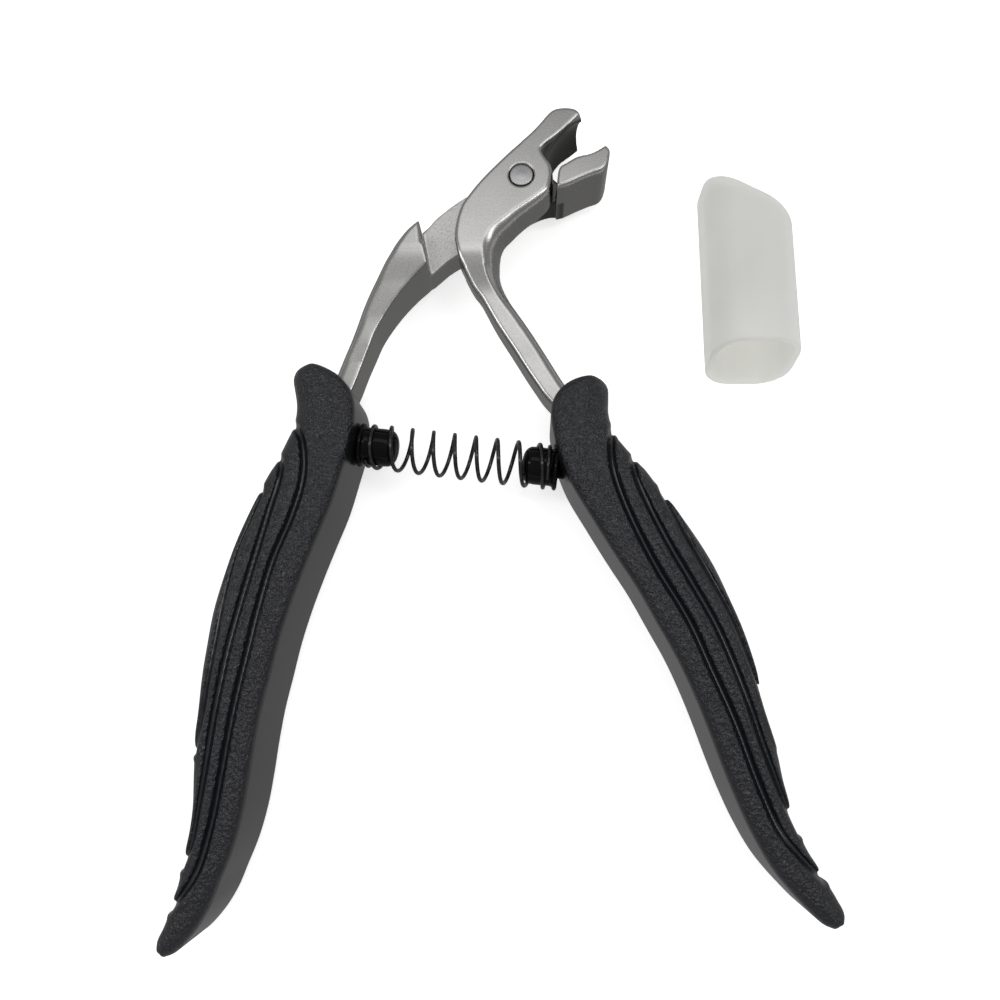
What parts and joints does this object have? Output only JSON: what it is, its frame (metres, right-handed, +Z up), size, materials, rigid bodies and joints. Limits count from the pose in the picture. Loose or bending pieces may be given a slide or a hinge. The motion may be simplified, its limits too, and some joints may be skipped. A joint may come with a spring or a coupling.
{
  "type": "spring-loaded nail nipper",
  "caption": "Hand nipper with a bent, lap-jointed head, end-cutting jaws, a coil return spring, moulded handle grips and a loose protection cap for the head.",
  "frame": {"origin": "middle of the base of the whole object's box, on the surface that the nipper lies on", "axes": "+X to the right across the handles, +Y from the handle ends towards the jaws, +Z up, parallel to the pivot axis"},
  "size_m": [0.0858, 0.1204, 0.013],
  "materials": {
    "steel": "satin-polished stainless steel",
    "rivet_steel": "polished flush head",
    "grip_plastic": "black, fine leather grain",
    "stud_plastic": "glossy black",
    "spring_steel": "black coated spring wire",
    "cap_silicone": "translucent milky, soft"
  },
  "bodies": {
    "rear_half": {"rear_arm": "steel", "pivot_rivet": "rivet_steel", "grip_left": "grip_plastic", "spring_stud_left": "stud_plastic", "return_spring": "spring_steel"},
    "front_half": {"front_arm": "steel", "grip_right": "grip_plastic", "spring_stud_right": "stud_plastic"},
    "cap": {"head_cap": "cap_silicone"}
  },
  "joints": [
    {"name": "jaw_pivot", "type": "hinge", "parent": "rear_half", "child": "front_half", "pos_m": [0.00235, 0.04871, 0.0065], "axis": [0, 0, 1], "range_deg": [-22, 0], "stiffness_Nm_per_rad": 0.4, "springref_deg": 8.59, "deforming": ["return_spring"]},
    {"name": "cap_lift", "type": "slide", "parent": "rear_half", "child": "cap", "axis": [0, 0, 1], "range_m": [0, 0.06]}
  ]
}
